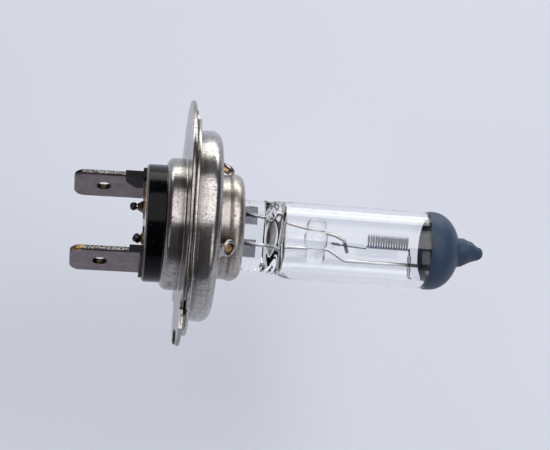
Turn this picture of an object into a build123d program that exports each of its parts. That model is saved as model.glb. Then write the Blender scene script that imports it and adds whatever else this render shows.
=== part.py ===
from build123d import *
import os
from math import asin, cos, degrees, radians, sin

# Single-filament halogen headlight bulb on a 26 mm pre-focused cap. Millimetres.
# The cap's axis is +X, with the glass ahead and the two blades behind, and +Z is up as
# the bulb sits in a lamp. The origin is on the cap's axis, in the plane where the cap
# ring's flange rests on the lamp.

# Cap: a lugged base cup behind, the focusing ring in front, and a gap between them.
SHEET = 0.5  # pressed steel of the cup and the ring
RING_RADIUS = 13.0  # enters the lamp's opening
RING_FRONT_X = 2.9
RING_CORNER = 1.05  # bend at the ring's front corner, at mid-sheet
RING_FLANGE_RADIUS = 15.1
RING_HOLE_RADIUS = 8.6
FLANGE_GAP = 0.4
RING_FLAT_REACH = 14.3  # a flat on one side of the ring flange's rim, from the axis
RING_FLAT_ANGLE = 28.0
BASE_FLANGE_RADIUS = 17.0
BASE_FLANGE_FRONT_X = -SHEET - FLANGE_GAP
BASE_TILT = 1.1  # the cup leans back from the ring, most at the notched lug
BASE_TILT_AXIS = 28.0  # towards the rim where the two flanges are closest
CUP_RADIUS = 9.0
CUP_REAR_X = -4.05
CUP_LIP_RADIUS = 8.1
LUG_ANGLE = 205.0  # the notched lug, from +Y towards +Z
LUG_HALF_WIDTH = 9.6
LUG_RECESS_RADIUS = 14.4
LUG_RECESS_SPAN = 18.0
LUG_NOTCH_WIDTH = 8.0
NUB_ORBIT = 16.3  # three embossed nubs on the base flange
NUB_ANGLES = (52.0, 172.0, 292.0)
NUB_RADIUS = 0.45
NUB_HEIGHT = 0.25
WELD_SPOT_ORBIT = 13.9
WELD_SPOT_RADIUS = 0.8
WELD_SPOT_ANGLES = (28.0, 148.0, 268.0)

# Sleeve that carries the burner, and the three tongues that hold it in the ring.
SLEEVE_RADIUS = 7.3
SLEEVE_NECK_RADIUS = 7.1  # behind the step
SLEEVE_SHEET = 0.4
SLEEVE_REAR_X = -0.6
SLEEVE_FRONT_X = 6.3
SLEEVE_STEP_X = 4.6
TONGUE_SHEET = 0.4
TONGUE_WIDTH = 2.4
TONGUE_ANGLES = (17.0, 137.0, 257.0)
TONGUE_NOSE_X = 4.15  # centre of the round nose and of its weld
NUGGET_RADIUS = 0.7
NUGGET_HEIGHT = 2.0
CLAMP_SHEET = 0.35

# Insulator and blades.
INSULATOR_RADIUS = 8.0
INSULATOR_REAR_X = -6.9
INSULATOR_FRONT_X = -2.4
BLADE_WIDTH = 6.3
BLADE_THICK = 0.8
BLADE_SPACING = 11.46  # between the two blades' middle planes
BLADE_TIP_X = -16.65
BLADE_HOLE_X = -12.6
BLADE_HOLE_RADIUS = 1.0
BLADE_TIP_CORNER = 1.4
FOOT_PROUD = 0.2  # the blade's foot lies in a recess and stands this far out of it
LEAD_Y = 2.4  # where each lead comes out, from the axis
UPPER_CONE, LOWER_CONE = 0.8, 0.3  # heights of the cones round the leads' ends
BEAD_RADIUS = 0.54
GUARD_SHEET = 0.2  # insulator skin over the upper edge of each blade's root

# Burner, in its own axes: x along the tube, z up across the pinch, y through the pinch.
BURNER_ROLL = -62.0
BURNER_TILT = 0.95
BURNER_DROP = 1.19  # below the cap's axis, at the front of the sleeve
TUBE_RADIUS = 5.3
TUBE_BORE = 4.3
DOME_X = 32.6
DOME_LENGTH = 3.9
NIPPLE_ROOT_RADIUS = 2.05
NIPPLE_END_RADIUS = 1.05
BULB_TIP_X = 39.95
COATING_X = 31.8
COATING_THICK = 0.08
PINCH_REAR_X = 0.2
PINCH_FRONT_X = 9.4
SHOULDER_X = 12.4
PINCH_THICK = 3.2
PINCH_LOW, PINCH_HIGH = -4.45, 5.1
FOIL_WIDTH = 2.4
FOIL_THICK = 0.06
FOIL_REAR_X, FOIL_FRONT_X = 1.6, 8.4
WIRE_GAP = 0.02  # quartz between a foil and the wire welded along it
UPPER_FOIL_Z, LOWER_FOIL_Z = 3.0, -1.45
LEAD_WIRE = 0.5
OUTER_WIRE = 0.7
BRIDGE_X = 16.6
BRIDGE_RADIUS = 1.6
BRIDGE_LOW, BRIDGE_HIGH = -2.9, 3.3
COIL_START_X, COIL_END_X = 23.8, 29.5
COIL_Z = 0.6
COIL_RADIUS = 0.83  # to the wire's middle
COIL_TURNS = 16
COIL_WIRE = 0.2
SLEEVE_TUBE_RADIUS = 0.26  # sleeves on the filament's front leg

LEAD_PLANE_Y = -(FOIL_THICK + LEAD_WIRE) / 2 - WIRE_GAP
LEG_Y = LEAD_PLANE_Y - (LEAD_WIRE + COIL_WIRE) / 2
BLADE_Y = BLADE_SPACING / 2
BASE = (
    Rot(X=BASE_TILT_AXIS - 90)
    * Pos(BASE_FLANGE_FRONT_X, 0, BASE_FLANGE_RADIUS)
    * Rot(Y=BASE_TILT)
    * Pos(-BASE_FLANGE_FRONT_X, 0, -BASE_FLANGE_RADIUS)
    * Rot(X=90 - BASE_TILT_AXIS)
)
BURNER = (
    Rot(X=BURNER_ROLL)
    * Pos(SLEEVE_FRONT_X, 0, -BURNER_DROP)
    * Rot(Y=BURNER_TILT)
    * Pos(-SLEEVE_FRONT_X, 0, 0)
)


def turned(face):
    """A solid of revolution about the X axis."""
    return revolve(face, Axis.X)


def turned_sheet(corners, bends, thick):
    """Sheet metal turned about X, from its mid-line's corners (x, radius) and bend radii."""
    return turned(trace(FilletPolyline(*corners, radius=bends), thick))


def spun(shape, angle):
    """A shape moved round the X axis; zero is towards +Y and 90 is up."""
    return Rot(X=angle) * shape


def rod(start, end, radius):
    """A round bar along X between two stations."""
    return Pos(start, 0, 0) * extrude(Plane.YZ * Circle(radius), end - start)


def block(low, high):
    """A box between two opposite corners."""
    size = [b - a for a, b in zip(low, high)]
    middle = [(a + b) / 2 for a, b in zip(low, high)]
    return Pos(*middle) * Box(*size)


def wire(points, diameter, bend):
    """A round wire along straight runs joined by arcs of one radius."""
    path = FilletPolyline(*points, radius=bend)
    return sweep(Plane(path @ 0, z_dir=path % 0) * Circle(diameter / 2), path=path)


# --- cap -----------------------------------------------------------------------------


def base_outline():
    """The base flange seen along X: a disc with a notched lug between two recesses."""
    side = degrees(asin(LUG_HALF_WIDTH / BASE_FLANGE_RADIUS))
    face = Circle(BASE_FLANGE_RADIUS)
    for edge in (side, -side - LUG_RECESS_SPAN):
        wedge = Polyline(
            (0, 0),
            *[(30 * cos(radians(a)), 30 * sin(radians(a))) for a in (edge, edge + LUG_RECESS_SPAN)],
            close=True,
        )
        face -= make_face(wedge) - Circle(LUG_RECESS_RADIUS)
    face -= Pos(BASE_FLANGE_RADIUS, 0) * RectangleRounded(2 * 2.7, LUG_NOTCH_WIDTH, 0.8)
    sharp = [v for v in face.vertices() if Vector(*v).length > BASE_FLANGE_RADIUS - 0.01]
    return Rot(Z=LUG_ANGLE) * fillet(sharp, 0.7)


def base_cup():
    """Cup that holds the insulator, pressed in one piece with the lugged flange."""
    middle = SHEET / 2
    flange_x = BASE_FLANGE_FRONT_X - middle
    corners = [
        (CUP_REAR_X + middle, CUP_LIP_RADIUS),
        (CUP_REAR_X + middle, CUP_RADIUS - middle),
        (flange_x, CUP_RADIUS - middle),
        (flange_x, BASE_FLANGE_RADIUS + 1),
    ]
    cup = turned_sheet(corners, [0.6, 0.5], SHEET)
    cup &= Pos(-20, 0, 0) * extrude(Plane.YZ * base_outline(), 40)
    for angle in NUB_ANGLES:
        nub = Pos(BASE_FLANGE_FRONT_X - 0.1, NUB_ORBIT, 0) * Rot(Y=90) * Cone(
            NUB_RADIUS, NUB_RADIUS / 2, NUB_HEIGHT + 0.1, align=(Align.CENTER, Align.CENTER, Align.MIN)
        )
        cup += spun(nub, angle)
    return BASE * cup


def tongue():
    """One strap that slopes from the ring down to the sleeve, with a hole in its round nose."""
    wall_x = RING_FRONT_X - SHEET / 2
    strip = FilletPolyline(
        (wall_x - 0.05, RING_HOLE_RADIUS + 1.4),
        (wall_x + 0.25, RING_HOLE_RADIUS + 0.8),
        (TONGUE_NOSE_X + 0.9, SLEEVE_RADIUS + 0.35),
        (TONGUE_NOSE_X + 1.25, SLEEVE_RADIUS + 0.05),
        radius=[0.3, 0.2],
    )
    strap = extrude(trace(strip, TONGUE_SHEET), TONGUE_WIDTH / 2, both=True)
    root = Pos(TONGUE_NOSE_X - 2, 0) * Rectangle(4, TONGUE_WIDTH * 0.8)
    plan = root + Pos(TONGUE_NOSE_X, 0) * Circle(TONGUE_WIDTH / 2)
    plan -= Pos(TONGUE_NOSE_X, 0) * Circle(NUGGET_RADIUS)
    return strap & (Pos(0, 5, 0) * extrude(Plane.XZ * plan, -8))


def nugget():
    """Weld metal that fills the tongue's hole and stands on the sleeve."""
    core = Cylinder(NUGGET_RADIUS, NUGGET_HEIGHT, align=(Align.CENTER, Align.CENTER, Align.MIN))
    core = fillet(core.edges().sort_by(Axis.Z)[-1], NUGGET_RADIUS * 0.7)
    return Pos(TONGUE_NOSE_X, SLEEVE_NECK_RADIUS - 0.3, 0) * Rot(X=-90) * core


def sleeve_outside():
    """Everything within the sleeve's outer surface."""
    outline = [
        (-5, 0),
        (-5, SLEEVE_NECK_RADIUS),
        (SLEEVE_STEP_X - 0.18, SLEEVE_NECK_RADIUS),
        (SLEEVE_STEP_X + 0.02, SLEEVE_RADIUS),
        (20, SLEEVE_RADIUS),
        (20, 0),
    ]
    return turned(make_face(Polyline(*outline, close=True)))


def cap_ring():
    """Focusing ring with its flange, front wall and the three tongues."""
    middle = SHEET / 2
    corners = [
        (-middle, RING_FLANGE_RADIUS),
        (-middle, RING_RADIUS - middle),
        (RING_FRONT_X - middle, RING_RADIUS - middle),
        (RING_FRONT_X - middle, RING_HOLE_RADIUS),
    ]
    ring = turned_sheet(corners, [0.4, RING_CORNER], SHEET)
    ring -= spun(block((-1, RING_FLAT_REACH, 0), (0.5, 20, 9)), RING_FLAT_ANGLE)
    for angle in TONGUE_ANGLES:
        ring += spun(tongue() - sleeve_outside(), angle)
    return ring


def weld_nuggets():
    """Three spot welds that join the tongues to the sleeve."""
    return [spun(nugget(), angle) - sleeve_outside() for angle in TONGUE_ANGLES]


def flange_weld_spots():
    """Three projection welds that fill the gap between the two flanges."""
    behind = BASE * rod(BASE_FLANGE_FRONT_X - 5, BASE_FLANGE_FRONT_X, 30)
    disc = Pos(0, WELD_SPOT_ORBIT, 0) * rod(BASE_FLANGE_FRONT_X - 2, -SHEET, WELD_SPOT_RADIUS)
    return [spun(disc, angle) - behind for angle in WELD_SPOT_ANGLES]


def pinch_outline(extra):
    """The pinch's cross-section in burner axes, grown by a margin."""
    height = PINCH_HIGH - PINCH_LOW + 2 * extra
    middle = (PINCH_HIGH + PINCH_LOW) / 2
    return Pos(0, 0, middle) * (Plane.YZ * Rectangle(PINCH_THICK + 2 * extra, height))


def burner_sleeve():
    """Drawn sleeve with a step, a rounded and closed front, and a slot for the pinch."""
    middle = SLEEVE_SHEET / 2
    front = SLEEVE_FRONT_X - middle
    corners = [
        (SLEEVE_REAR_X, SLEEVE_NECK_RADIUS - middle),
        (SLEEVE_STEP_X - 0.1, SLEEVE_NECK_RADIUS - middle),
        (SLEEVE_STEP_X + 0.1, SLEEVE_RADIUS - middle),
        (front, SLEEVE_RADIUS - middle),
        (front, 0.2),
    ]
    sleeve = turned_sheet(corners, [0.05, 0.05, 0.9], SLEEVE_SHEET)
    return sleeve - BURNER * extrude(pinch_outline(0.25), 12)


def pinch_clamp():
    """Box clip round the pinch on a plate that is welded inside the sleeve's front."""
    plate_front = SLEEVE_FRONT_X - SLEEVE_SHEET
    plate = rod(plate_front - CLAMP_SHEET, plate_front, SLEEVE_RADIUS - SLEEVE_SHEET - 0.8)
    box = extrude(pinch_outline(CLAMP_SHEET + 0.02), plate_front - 0.6)
    clip = plate + (BURNER * Pos(0.4, 0, 0) * box)
    clip &= rod(0, plate_front, SLEEVE_RADIUS)
    return clip - (BURNER * Pos(-1, 0, 0) * extrude(pinch_outline(0.02), 12))


# --- insulator and contacts ----------------------------------------------------------


def guard_outline(length):
    """Side view, in x and z, of the insulator's skin over the blade's root."""
    rear = INSULATOR_REAR_X
    top = BLADE_WIDTH / 2 + GUARD_SHEET
    points = [
        (rear, top),
        (rear - length, top),
        (rear - length, top - 1.1),
        (rear - 0.9 * length, top - 1.7),
        (rear - length / 2, 0.3),
        (rear, 0.3),
    ]
    return make_face(Polyline(*points, close=True))


def blade_guard(side, length):
    """Skin over the upper edge and the inner face of one blade's root."""
    inner = BLADE_Y - BLADE_THICK / 2 - GUARD_SHEET
    depth = BLADE_THICK + GUARD_SHEET
    guard = extrude(Plane.XZ * guard_outline(length), -depth)
    return mirror(Pos(0, inner, 0) * guard, Plane.XZ) if side < 0 else Pos(0, inner, 0) * guard


def lead_holes():
    """The two passages through which the leads reach the blades."""
    passage = rod(INSULATOR_REAR_X - 1, INSULATOR_FRONT_X + 1, OUTER_WIRE / 2 + 0.15)
    return [Pos(0, side * LEAD_Y, 0) * passage for side in (1, -1)]


def insulator(blades):
    """Moulded body behind the cup's lip, recessed for the blades' feet and tangs."""
    body = rod(INSULATOR_REAR_X, INSULATOR_FRONT_X, INSULATOR_RADIUS)
    body += rod(CUP_REAR_X + 2 * SHEET, INSULATOR_FRONT_X, CUP_RADIUS - SHEET - 0.1)
    body = chamfer(body.edges().sort_by(Axis.X)[0], 0.25)
    wall_y = BLADE_Y + BLADE_THICK / 2
    for side, length in ((1, 2.85), (-1, 1.9)):
        body += blade_guard(side, length)
        wall = block((INSULATOR_REAR_X - 0.45, wall_y, -3.4), (INSULATOR_REAR_X, wall_y + 0.5, 3.4))
        body += wall if side > 0 else mirror(wall, Plane.XZ)
    for piece in (*blades, *lead_holes()):
        body -= piece
    return body


def blade(side, cone_height):
    """Flat blade with a detent hole, a foot towards the axis, a lead cone and a tang."""
    half = BLADE_WIDTH / 2
    thick = BLADE_THICK / 2
    shoulder_x = INSULATOR_REAR_X + 0.6
    plate = block((BLADE_TIP_X, -thick, -half), (shoulder_x, thick, half))
    plate = fillet(plate.faces().sort_by(Axis.X)[0].edges().filter_by(Axis.Y), BLADE_TIP_CORNER)
    plate = chamfer(plate.faces().sort_by(Axis.X)[0].edges().filter_by(Axis.Z), 0.2)
    hole = Pos(BLADE_HOLE_X, 0, 0) * Rot(X=90) * Cylinder(BLADE_HOLE_RADIUS, 3)
    tang = block((shoulder_x, -thick, -1.5), (shoulder_x + 2.4, thick, 1.5))
    piece = Pos(0, BLADE_Y, 0) * (plate + tang - hole)
    foot_rear = INSULATOR_REAR_X - FOOT_PROUD
    foot_front = foot_rear + BLADE_THICK
    inner = BLADE_Y - thick
    outline = [(inner, 2.4), (LEAD_Y + 0.6, 1.5), (LEAD_Y - 1.3, 1.0)]
    foot = Polyline(*outline, *[(y, -z) for y, z in reversed(outline)], close=True)
    foot = Pos(foot_rear, 0, 0) * extrude(Plane.YZ * make_face(foot), foot_front - foot_rear)
    heel = block((foot_rear - 0.6, inner - 0.6, -2.4), (foot_rear, inner, 2.4))
    heel -= Pos(foot_rear - 0.6, inner - 0.6, 0) * Cylinder(0.6, 10)
    cone = Pos(foot_rear, LEAD_Y, 0) * Rot(Y=-90) * Cone(
        0.9, OUTER_WIRE / 2 + 0.08, cone_height, align=(Align.CENTER, Align.CENTER, Align.MIN)
    )
    bore = Pos(0, LEAD_Y, 0) * rod(-12, -2, OUTER_WIRE / 2)
    piece = piece + foot + heel + cone - bore
    return piece if side > 0 else mirror(piece, Plane.XZ)


def lead_end(cone_height):
    """Station, along X, where a lead ends just behind its cone."""
    return INSULATOR_REAR_X - FOOT_PROUD - cone_height - 0.1


def outer_lead(foil_z, side, end_x):
    """Lead from the foil's rear end, back through the insulator, to the blade's cone."""
    lead_y = (FOIL_THICK + OUTER_WIRE) / 2 + WIRE_GAP
    in_pinch = [BURNER * Pos(x, lead_y, foil_z) for x in (FOIL_REAR_X + 1.4, PINCH_REAR_X - 0.3)]
    points = [place.position for place in in_pinch]
    points.append(Vector(INSULATOR_FRONT_X + 0.4, side * LEAD_Y, 0))
    points.append(Vector(end_x, side * LEAD_Y, 0))
    return wire(points, OUTER_WIRE, 0.5)


def lead_weld_bead(side, end_x):
    """Bead melted on a lead's end."""
    bead = rod(end_x - 1.7 * BEAD_RADIUS, end_x, BEAD_RADIUS)
    bead = fillet(bead.edges().filter_by(GeomType.CIRCLE), 0.7 * BEAD_RADIUS)
    return Pos(0, side * LEAD_Y, 0) * bead


# --- burner --------------------------------------------------------------------------


def burner_profile(growth):
    """Half outline, in x and radius, of the tube, its dome and the sealed nipple."""
    radius = TUBE_RADIUS + growth
    turn = degrees(asin(NIPPLE_ROOT_RADIUS / TUBE_RADIUS))
    dome = EllipticalCenterArc((DOME_X, 0), DOME_LENGTH + growth, radius, turn, arc_size=90 - turn)
    root_point = min((dome @ 0, dome @ 1), key=lambda point: point.Y)
    neck_x = BULB_TIP_X - NIPPLE_END_RADIUS
    neck = Vector(neck_x, NIPPLE_END_RADIUS + growth)
    taper = Spline(root_point, neck, tangents=[(1, -0.35), (1, -0.15)])
    nose = (NIPPLE_END_RADIUS + growth, NIPPLE_END_RADIUS + growth)
    end = EllipticalCenterArc((neck_x, 0), *nose, 0, arc_size=90)
    rear = Polyline((BULB_TIP_X + growth, 0), (PINCH_REAR_X, 0), (PINCH_REAR_X, radius), (DOME_X, radius))
    return make_face([*dome.edges(), *taper.edges(), *end.edges(), *rear.edges()])


def flared_slab(low, high, plane, depth):
    """Prism whose two sides run straight along the pinch and flare out to the tube."""
    wide = TUBE_RADIUS + 0.4
    top = Spline((PINCH_FRONT_X, high), (SHOULDER_X, wide), tangents=[(1, 0), (1, 0.25)])
    bottom = Spline((PINCH_FRONT_X, low), (SHOULDER_X, -wide), tangents=[(1, 0), (1, -0.25)])
    far = BULB_TIP_X + 5
    rear = PINCH_REAR_X - 1
    edges = [
        *top.edges(),
        *Polyline((SHOULDER_X, wide), (far, wide), (far, -wide), (SHOULDER_X, -wide)).edges(),
        *bottom.edges(),
        *Polyline((PINCH_FRONT_X, low), (rear, low), (rear, high), (PINCH_FRONT_X, high)).edges(),
    ]
    return extrude(plane * make_face(edges), depth, both=True)


def burner_shell():
    """The closed outer shape of the quartz, before its hollow is taken out."""
    shell = turned(burner_profile(0))
    shell &= flared_slab(-PINCH_THICK / 2, PINCH_THICK / 2, Plane.XY, 10)
    return shell & flared_slab(PINCH_LOW, PINCH_HIGH, Plane.XZ, 10)


def gas_space():
    """The hollow inside the tube, with round corners at both ends."""
    hollow = rod(SHOULDER_X - 1.1, DOME_X + 2.6, TUBE_BORE)
    rear, *_, front = hollow.edges().filter_by(GeomType.CIRCLE).sort_by(Axis.X)
    hollow = fillet(rear, 1.8)
    front = hollow.edges().filter_by(GeomType.CIRCLE).sort_by(Axis.X)[-1]
    return fillet(front, 3.0)


def foil(middle_z):
    """Molybdenum foil sealed in the pinch."""
    low = (FOIL_REAR_X, -FOIL_THICK / 2, middle_z - FOIL_WIDTH / 2)
    high = (FOIL_FRONT_X, FOIL_THICK / 2, middle_z + FOIL_WIDTH / 2)
    return block(low, high)


def in_lead_plane(points):
    return [(x, LEAD_PLANE_Y, z) for x, z in points]


def upper_inner_lead():
    """Short lead from the upper foil, through the bridge, to a hook on the filament."""
    route = [(6.9, 3.18), (8.5, 3.02), (19.2, 1.12), (20.5, 0.55), (21.0, -1.1)]
    return wire(in_lead_plane(route), LEAD_WIRE, 0.5)


def lower_inner_lead():
    """Long lead from the lower foil, through the bridge, under the filament."""
    route = [(6.9, -0.72), (9.0, -0.9), (18.4, -0.86), (20.7, -2.22), (30.9, -2.17)]
    return wire(in_lead_plane(route), LEAD_WIRE, 0.9)


def quartz_bridge():
    """Round-ended quartz rod across the tube that keeps the two leads apart."""
    height = BRIDGE_HIGH - BRIDGE_LOW
    rod_shape = fillet(Cylinder(BRIDGE_RADIUS, height).edges().filter_by(GeomType.CIRCLE), 0.6)
    return Pos(BRIDGE_X, LEAD_PLANE_Y, (BRIDGE_HIGH + BRIDGE_LOW) / 2) * rod_shape


def filament():
    """Coil of tungsten wire with a leg at each end."""
    length = COIL_END_X - COIL_START_X
    helix = Helix(pitch=length / COIL_TURNS, height=length, radius=COIL_RADIUS)
    start = Plane(helix @ 0, z_dir=helix % 0)
    coil = sweep(start * Circle(COIL_WIRE / 2), path=helix, is_frenet=True)
    phase = degrees(asin(LEG_Y / COIL_RADIUS))
    coil = Pos(COIL_START_X, 0, COIL_Z) * Rot(X=phase) * Rot(Y=90) * coil
    end_z = COIL_Z - COIL_RADIUS * cos(radians(phase))
    left = [(18.7, 0.0), (21.5, -0.24), (COIL_START_X - 0.05, -0.34), (COIL_START_X, end_z + 0.1)]
    right = [(COIL_END_X, end_z + 0.1), (COIL_END_X + 0.15, -3.9), (COIL_END_X + 0.6, -4.0)]
    legs = [wire([(x, LEG_Y, z) for x, z in route], COIL_WIRE, 0.12) for route in (left, right)]
    return coil + legs


def leg_sleeves():
    """Small sleeves crimped on the filament's front leg, above and below the long lead."""
    return [leg_sleeve(-1.4, 0.9), leg_sleeve(-3.1, 1.3)]


def leg_sleeve(middle_z, height):
    """A tube that follows the leg's slight slope."""
    x = COIL_END_X + 0.035 * (COIL_Z - middle_z)
    tube = Cylinder(SLEEVE_TUBE_RADIUS, height) - Cylinder(COIL_WIRE / 2 + 0.04, 5)
    return Pos(x, LEG_Y, middle_z) * Rot(Y=-2) * tube


# --- assembly ------------------------------------------------------------------------

upper_foil, lower_foil = foil(UPPER_FOIL_Z), foil(LOWER_FOIL_Z)
upper_lead, lower_lead = upper_inner_lead(), lower_inner_lead()
lead_ends = [lead_end(UPPER_CONE), lead_end(LOWER_CONE)]
upper_outer = outer_lead(UPPER_FOIL_Z, 1, lead_ends[0])
lower_outer = outer_lead(LOWER_FOIL_Z, -1, lead_ends[1])
bridge = quartz_bridge() - upper_lead - lower_lead
shell = burner_shell()
sealed = [upper_foil, lower_foil, upper_lead, lower_lead]
sealed += [BURNER.inverse() * upper_outer, BURNER.inverse() * lower_outer]
envelope = shell - gas_space()
for piece in sealed:
    envelope -= piece
coating = turned(burner_profile(COATING_THICK)) - shell
coating &= rod(COATING_X, BULB_TIP_X + 2, 9)
blades = [blade(1, UPPER_CONE), blade(-1, LOWER_CONE)]

nodes = {
    "base_cup": base_cup(),
    "cap_ring": cap_ring(),
    "flange_weld_spots": flange_weld_spots(),
    "burner_sleeve": burner_sleeve(),
    "pinch_clamp": pinch_clamp(),
    "sleeve_weld_nuggets": weld_nuggets(),
    "insulator": insulator(blades),
    "upper_blade": blades[0],
    "lower_blade": blades[1],
    "lead_weld_beads": [lead_weld_bead(1, lead_ends[0]), lead_weld_bead(-1, lead_ends[1])],
    "upper_outer_lead": upper_outer,
    "lower_outer_lead": lower_outer,
    "quartz_envelope": BURNER * envelope,
    "front_coating": BURNER * coating,
    "upper_foil": BURNER * upper_foil,
    "lower_foil": BURNER * lower_foil,
    "upper_inner_lead": BURNER * upper_lead,
    "lower_inner_lead": BURNER * lower_lead,
    "quartz_bridge": BURNER * bridge,
    "filament_coil": BURNER * filament(),
    "filament_leg_sleeve": [BURNER * sleeve for sleeve in leg_sleeves()],
}

os.makedirs("parts", exist_ok=True)
for name, shape in nodes.items():
    solids = shape if isinstance(shape, list) else shape.solids()
    export_step(Compound(children=list(solids)) if len(solids) > 1 else solids[0], f"parts/{name}.step")
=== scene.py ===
from math import acos, asin, cos, hypot, pi, radians, sin, sqrt, tan

import bmesh
import bpy
from mathutils import Matrix, Vector, noise


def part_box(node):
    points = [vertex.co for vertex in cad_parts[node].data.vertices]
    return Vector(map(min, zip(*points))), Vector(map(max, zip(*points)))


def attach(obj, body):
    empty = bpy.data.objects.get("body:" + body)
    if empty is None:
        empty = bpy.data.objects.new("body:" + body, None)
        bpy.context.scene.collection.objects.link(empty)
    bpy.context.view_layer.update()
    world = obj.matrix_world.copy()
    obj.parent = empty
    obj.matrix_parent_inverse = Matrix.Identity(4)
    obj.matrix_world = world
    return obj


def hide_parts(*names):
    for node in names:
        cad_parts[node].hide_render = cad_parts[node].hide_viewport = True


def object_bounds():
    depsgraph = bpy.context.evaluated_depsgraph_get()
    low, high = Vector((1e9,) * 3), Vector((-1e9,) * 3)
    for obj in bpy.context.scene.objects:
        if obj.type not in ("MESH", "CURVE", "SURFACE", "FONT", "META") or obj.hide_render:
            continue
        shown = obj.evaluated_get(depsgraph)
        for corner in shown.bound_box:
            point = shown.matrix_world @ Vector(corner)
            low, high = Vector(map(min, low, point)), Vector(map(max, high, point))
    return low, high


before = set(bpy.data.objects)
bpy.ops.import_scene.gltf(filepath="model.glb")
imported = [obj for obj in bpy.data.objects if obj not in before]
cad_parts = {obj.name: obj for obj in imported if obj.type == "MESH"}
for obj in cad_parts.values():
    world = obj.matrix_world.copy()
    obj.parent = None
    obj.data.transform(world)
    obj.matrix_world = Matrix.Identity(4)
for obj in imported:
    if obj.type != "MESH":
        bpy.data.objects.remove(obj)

# A halogen headlight bulb. The cap's axis is X and the glass is at +X. Sizes of the bulb
# are in millimetres and are scaled by MM as the meshes are made; the floor's and the
# lamps' are in metres, as Blender's are.
MM = 0.001
ALONG_X = Vector((1, 0, 0))
cad_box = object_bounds()
scene = bpy.context.scene

# View: the camera stands 62 degrees round the cap's axis from the horizontal.
VIEW_ELEVATION = radians(62)
VIEW_YAW = radians(5.9)
VIEW_ROLL = radians(3.3)
VIEW_DISTANCE, VIEW_FOOT_X, VIEW_LIFT = 231.3, -12.97, 0.70
LENS, SENSOR = 111.3, 36.0

FLOOR_GAP = 0.024  # metres of clear space under the lug

# Burner: its own axes are x along the tube, z across the pinch, y through the pinch.
# BURNER below tilts it and lowers it a little into the sleeve.
BURNER_TILT = radians(0.95)
BURNER_DROP = 1.19
SLEEVE_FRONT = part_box("burner_sleeve")[1].x / MM
TUBE_RADIUS, TUBE_WALL = 5.3, 1.0
DOME_X, DOME_LENGTH = 32.6, 3.9
BULB_TIP_X = 39.95
NIPPLE_ROOT, NIPPLE_END = 2.05, 1.05
COATING_X, COATING_THICK, COATING_GAP, COATING_EDGE = 31.8, 0.08, 0.004, 0.6
PINCH_REAR_X, PINCH_FRONT_X, SHOULDER_X = 0.2, 9.4, 12.4
PINCH_HALF_THICK, PINCH_LOW, PINCH_HIGH = 1.6, -4.45, 5.1
LEAD_WIRE, COIL_WIRE = 0.5, 0.2
LEAD_Y = -0.30
LEG_Y = LEAD_Y - (LEAD_WIRE + COIL_WIRE) / 2
COIL_START, COIL_END, COIL_TURNS = 23.8, 29.5, 16
COIL_Z, COIL_RADIUS = 0.67, 0.90
LEG_START, LEG_DROP_END, LEG_DROP = 18.7, 21.5, 0.24
LEG_WRAPS, WRAP_RADIUS, WRAP_WIRE = ((18.75, 19.9, 4), (20.3, 20.9, 2)), 0.17, 0.07
BRIDGE_X, BRIDGE_LOW, BRIDGE_HIGH, BRIDGE_RADIUS = 16.6, -2.9, 3.3, 1.36
BRIDGE_GROOVES, GROOVE_WIDTH = ((-0.87, 0.33), (1.58, 0.30)), 0.22
GROOVE_FALL = 2.718  # how many times shallower a groove is at its width from its middle
# The leads' routes are corners (x, z) in the burner's axes.
UPPER_ROUTE = [(6.9, 3.18), (8.5, 3.02), (19.2, 1.12), (20.5, 0.55), (21.0, -1.1)]
LOWER_ROUTE = [(6.9, -0.72), (9.0, -0.9), (18.4, -0.86), (20.7, -2.22), (30.9, -2.17)]

# Cap: pressed sheet parts turned about X; angles go from +Y towards +Z.
SHEET, SLEEVE_SHEET = 0.5, 0.4
EDGE_SOFT = 0.09  # how far a sheet's rounded edge stands out past its mid-line's end
RIM_ROOM = 0.03  # an uneven rim stays this far inside the CAD's edge
RING_RADIUS, RING_FLANGE, RING_HOLE, RING_FRONT = 13.0, 15.1, 8.6, 2.9
RING_FLAT_REACH, RING_FLAT_ANGLE = 14.3, 28.0
FLANGE_RADIUS, FLANGE_X = 17.0, -1.15
CUP_RADIUS, CUP_REAR_X, CUP_LIP = 9.0, -4.05, 8.1
BASE_TILT, BASE_TILT_AXIS = radians(1.1), radians(28)
LUG_ANGLE, LUG_HALF_WIDTH, NOTCH_HALF_WIDTH, NOTCH_BOTTOM = 205.0, 9.6, 4.0, 14.3
RECESS_REACH, RECESS_SPAN = 14.4, 18.0
NUB_ANGLES, NUB_ORBIT, NUB_RADIUS, NUB_HEIGHT = (52, 172, 292), 16.3, 0.45, 0.26
SLEEVE_NECK, SLEEVE_BEAD, SLEEVE_STEP_X, SLOT_GAP = 7.1, 7.3, 4.6, 0.25
TONGUE_ANGLES, EYE_X, EYE_REACH = (17, 137, 257), 4.15, 8.30
EYE_SLOPE = radians(36)
EYE_RADIUS, NUGGET_RADIUS, NUGGET_HEIGHT = 1.20, 0.68, 0.26
# The ring leans back at its bottom, and its flange is bowed and sits back at its rim.
RING_ASKEW, RING_WARP, RING_SINK = 0.24, 0.22, 0.23

# Behind the cap: a painted grey highlight on the insulator's rear rim, the beads on the leads' ends
# with their half-widths, and on the upper blade the scorched part, the top edge with its painted glints
# and a gilded spot.
RIM_HIGHLIGHT_X, RIM_HIGHLIGHT_RADIUS = -6.70, 7.70
BEADS = (
    ((-8.42, 2.4, 0), (0.54, 0.54, 0.54), 0.16, 1.0),
    ((-7.80, -2.4, 0), (0.56, 0.64, 0.60), 0.22, 5.0),
)
SCORCH_X, BLADE_TOP_Z = -8.2, 3.08
GOLD_SPOT, GOLD_REACH = (-15.7, -5.5, 3.1), 1.1

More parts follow.
